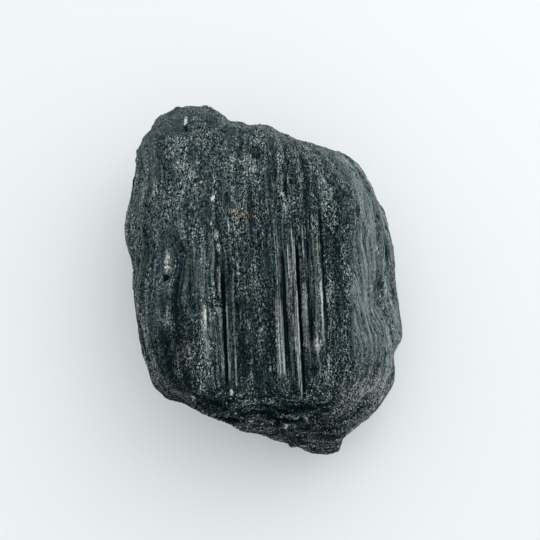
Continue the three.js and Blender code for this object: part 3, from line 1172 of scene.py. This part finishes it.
    def breaks(self, graph: Graph, place: Place) -> Wire:
        """Chips of three sizes: the small ones everywhere, the large ones on the ends alone.

        Args:
            graph: The tree to build in.
            place: The place on the crystal.

        Returns:
            Their depth, from about -2 to 2.
        """
        ends = 1.0 - place.ribbed
        large = self.chips(graph, place, self.large_chip) * ends * 1.4
        usual = self.chips(graph, place, self.chip) * (0.4 + ends * 1.2)
        return large + usual + self.chips(graph, place, self.small_chip) * 0.4

    def chips(self, graph: Graph, place: Place, size: float) -> Wire:
        """Flat chips, each with its own slant.

        Args:
            graph: The tree to build in.
            place: The place on the crystal.
            size: A chip's size.

        Returns:
            Their depth, from about -1 to 1.
        """
        vector = graph.scaled(graph.vector_math("ADD", place.point, self.chip_shift), 1 / size)
        slant = graph.scaled(graph.centred(graph.cells(vector, "Color")), 2.0)
        out = graph.vector_math("SUBTRACT", vector, graph.cells(vector, "Position"))
        return graph.vector_math("DOT_PRODUCT", out, slant, "Value")

    def ledges(self, graph: Graph, place: Place) -> Wire:
        """Level ledges on the upper part of the broken end, which come and go.

        Args:
            graph: The tree to build in.
            place: The place on the crystal.

        Returns:
            Their depth, from 0 to 1.
        """
        wave = graph.noise(place.point, 2.0, self.ledge_waves_per_mm) * self.ledge_wave
        ledge = 1.0 - graph.math("FRACT", (place.height + wave) / self.ledge)
        ledge = ledge * graph.noise(place.point, 2.0, self.ledge_breaks_per_mm).rise(*self.ledge_breaks)
        return ledge * place.broken * place.height.rise(*self.ledge_height)

    def columns(self, graph: Graph, place: Place) -> Wire:
        """The rounded end's lower part, where columns of the stone are broken off at different lengths.

        Args:
            graph: The tree to build in.
            place: The place on the crystal.

        Returns:
            How far each column falls short, from 0 to 1.
        """
        section = graph.scaled(place.ragged_point, 1 / self.column)
        turned = graph.vector(graph.part(section, 0), graph.part(section, 2), 0.0)
        short = graph.part(graph.cells(turned, "Color", 1.0, "2D"), 0)
        return short * place.along.rise(*self.column_along) * place.height.fall(*self.column_height)


@dataclass
class Floor:
    """The tabletop that the crystal lies on, which isn't part of it."""

    finish: FloorFinish = field(default_factory=FloorFinish)
    half: float = 1500.0
    gap: float = 0.02

    def build(self) -> bpy.types.Object:
        """Makes the floor.

        Returns:
            The floor's object.
        """
        reach = self.half * MM
        turns = ((-1, -1), (1, -1), (1, 1), (-1, 1))
        corners = [(x * reach, y * reach, -self.gap * MM) for x, y in turns]
        mesh = bpy.data.meshes.new("floor")
        mesh.from_pydata(corners, [], [range(len(corners))])
        mesh.materials.append(self.finish.build())
        floor = bpy.data.objects.new("floor", mesh)
        bpy.context.scene.collection.objects.link(floor)
        return floor


@dataclass
class Studio:
    """A bright room, lighter on one side, and a soft box above and behind the crystal."""

    direction: Triple = (0.32, 0.42, 0.85)
    distance: float = 300.0
    side: float = 190.0
    power: float = 0.13
    room: Colour = (0.955, 1.0, 1.005)
    room_strength: float = 1.18
    room_least: float = 0.05
    lit_side: Triple = (0.6, 0.65, 0.45)
    dimmed: float = 0.25
    gain: float = 0.4

    def build(self) -> None:
        """Makes the soft box and the room."""
        self.build_box()
        self.build_room()

    def build_box(self) -> None:
        """Makes the soft box, which points at the crystal."""
        lamp = bpy.data.lights.new("softbox", "AREA")
        lamp.size = self.side * MM
        lamp.energy = self.power
        softbox = bpy.data.objects.new("softbox", lamp)
        toward = Vector(self.direction).normalized()
        softbox.location = toward * self.distance * MM
        softbox.rotation_euler = toward.to_track_quat("Z", "Y").to_euler()
        bpy.context.scene.collection.objects.link(softbox)

    def build_room(self) -> None:
        """Makes the room, which is brighter on its lit side."""
        world = bpy.data.worlds.new("room")
        graph = empty_graph(world)
        toward = graph.node("ShaderNodeTexCoord", {}, {}, "Generated")
        lit = tuple(Vector(self.lit_side).normalized())
        facing = graph.vector_math("DOT_PRODUCT", toward, lit, "Value")
        strength = self.room_strength * (1.0 - self.dimmed + facing * self.gain)
        inputs = {"Color": opaque(self.room), "Strength": strength.most(self.room_least)}
        sky = graph.node("ShaderNodeBackground", {}, inputs)
        graph.node("ShaderNodeOutputWorld", {}, {"Surface": sky})
        bpy.context.scene.world = world


@dataclass
class Camera:
    """The camera: nearly overhead, tipped towards the broken end."""

    elevation: float = math.radians(78)
    distance: float = 210.0
    near: float = 10.0
    image: float = 540.0
    middle_pixel: Span = (263.0, 281.0)
    pixel: float = 62 / 350
    sensor: float = 36.0

    def build(self) -> None:
        """Makes the camera and looks through it."""
        right = Vector((1.0, 0.0, 0.0))
        up = Vector((0.0, math.sin(self.elevation), math.cos(self.elevation)))
        back = Vector((0.0, -math.cos(self.elevation), math.sin(self.elevation)))
        centre = self.image / 2
        aside = (centre - self.middle_pixel[0]) * self.pixel
        above = (self.middle_pixel[1] - centre) * self.pixel
        target = Vector(LAY.middle) + right * aside + up * above
        data = bpy.data.cameras.new("camera")
        data.sensor_width = self.sensor
        data.lens = self.sensor * self.distance / (self.image * self.pixel)
        data.clip_start = self.near * MM
        camera = bpy.data.objects.new("camera", data)
        turn = Matrix((right, up, back)).transposed().to_4x4()
        camera.matrix_world = Matrix.Translation((target + back * self.distance) * MM) @ turn
        bpy.context.scene.collection.objects.link(camera)
        bpy.context.scene.camera = camera


def main() -> None:
    """Builds the camera, the studio, the floor and the crystal."""
    logging.basicConfig(level=logging.INFO, format="%(name)s: %(message)s")
    bpy.context.scene.view_settings.view_transform = "Standard"
    Camera().build()
    Studio().build()
    for maker in (Floor(), Crystal()):
        piece = maker.build()
        LOG.info("%s: %d faces", piece.name, len(piece.data.polygons))


if __name__ == "__main__":
    main()
